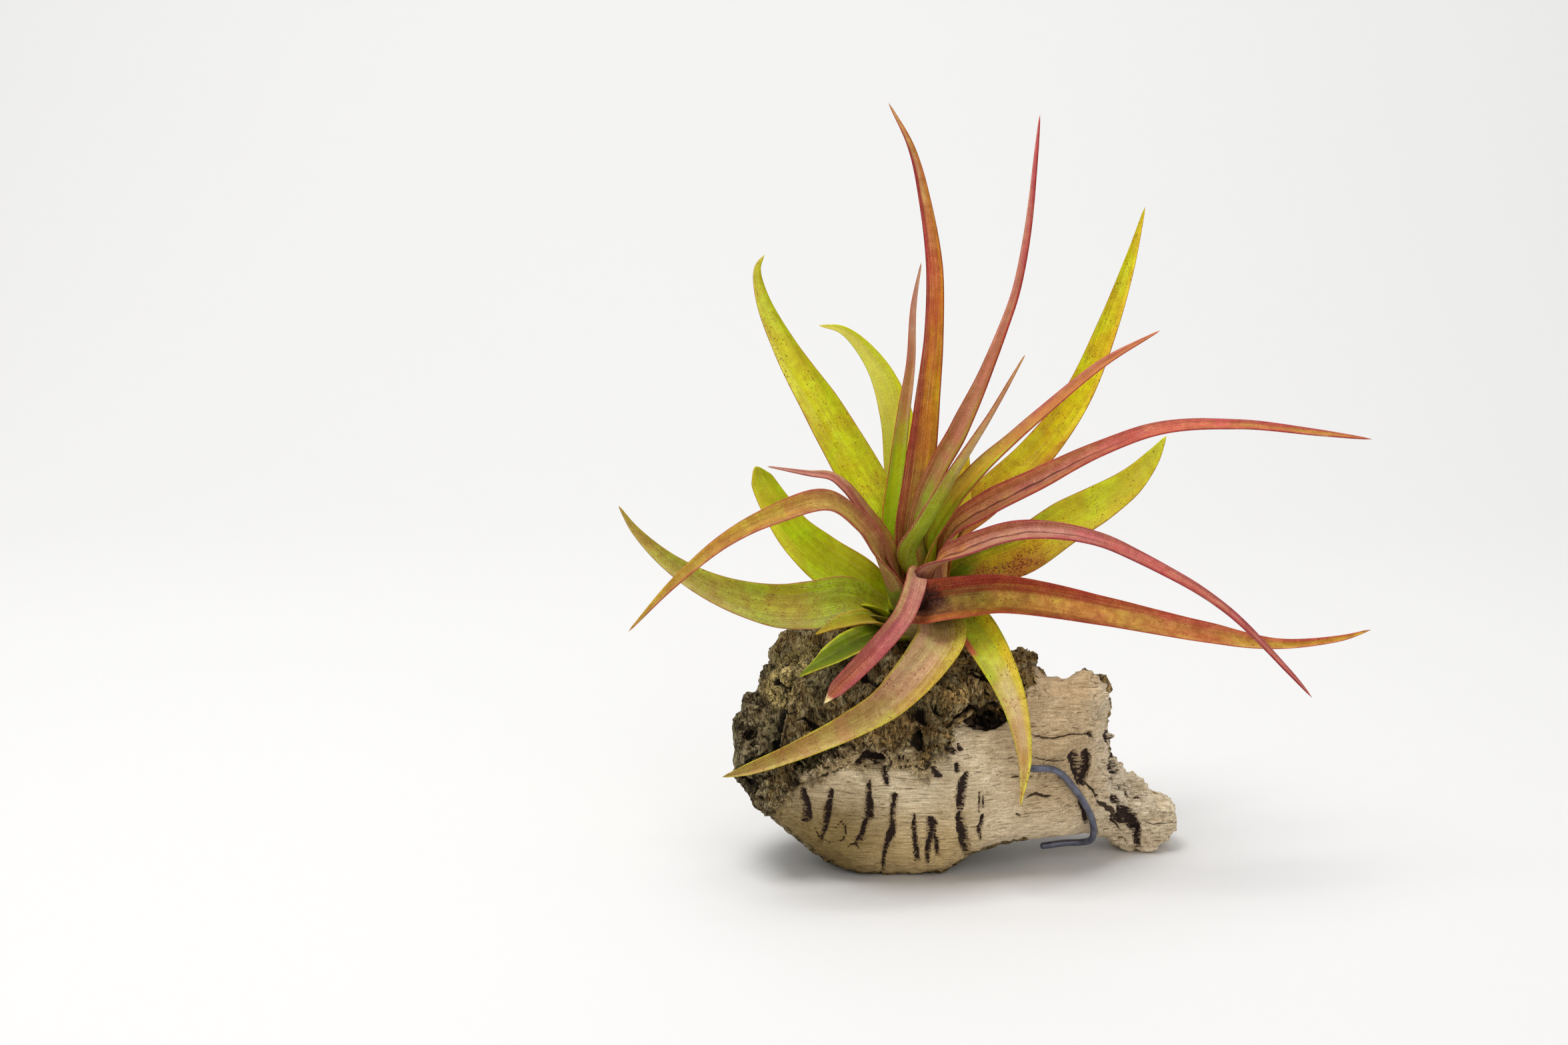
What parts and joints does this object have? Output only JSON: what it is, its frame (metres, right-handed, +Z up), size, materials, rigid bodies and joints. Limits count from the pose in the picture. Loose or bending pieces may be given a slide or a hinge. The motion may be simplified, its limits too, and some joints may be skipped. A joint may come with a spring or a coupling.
{
  "type": "tillandsia air plant on cork bark",
  "caption": "Air plant with a rosette of long arching channelled leaves, yellow-green to red, wired on a rough piece of cork bark that rests on a flat spot.",
  "frame": {"origin": "middle of the flat spot under the cork bark that the whole thing rests on", "axes": "+Z up along the plant, +X to the right of the front view, along the cork, +Y to the back"},
  "size_m": [0.1841, 0.1061, 0.1895],
  "materials": {
    "cork": "rough",
    "wire": "satin",
    "stem": "matte",
    "leaf_heart": "matte",
    "leaf_green": "matte",
    "leaf_pale": "matte",
    "leaf_red": "matte",
    "leaf_rose": "matte",
    "leaf_tan": "matte"
  },
  "bodies": {
    "root": {"cork_bark": "cork", "wire": "wire", "stem": "stem", "leaf_01": "leaf_heart", "leaf_02": "leaf_heart", "leaf_03": "leaf_red", "leaf_04": "leaf_red", "leaf_05": "leaf_red", "leaf_06": "leaf_heart", "leaf_07": "leaf_rose", "leaf_08": "leaf_pale", "leaf_09": "leaf_rose", "leaf_10": "leaf_rose", "leaf_11": "leaf_rose", "leaf_12": "leaf_tan", "leaf_13": "leaf_green", "leaf_14": "leaf_green", "leaf_15": "leaf_red", "leaf_16": "leaf_green", "leaf_17": "leaf_green", "leaf_18": "leaf_pale", "leaf_19": "leaf_green", "leaf_20": "leaf_tan", "leaf_21": "leaf_green", "leaf_22": "leaf_green", "leaf_23": "leaf_green", "leaf_24": "leaf_green", "leaf_25": "leaf_green", "leaf_26": "leaf_green"}
  },
  "joints": []
}
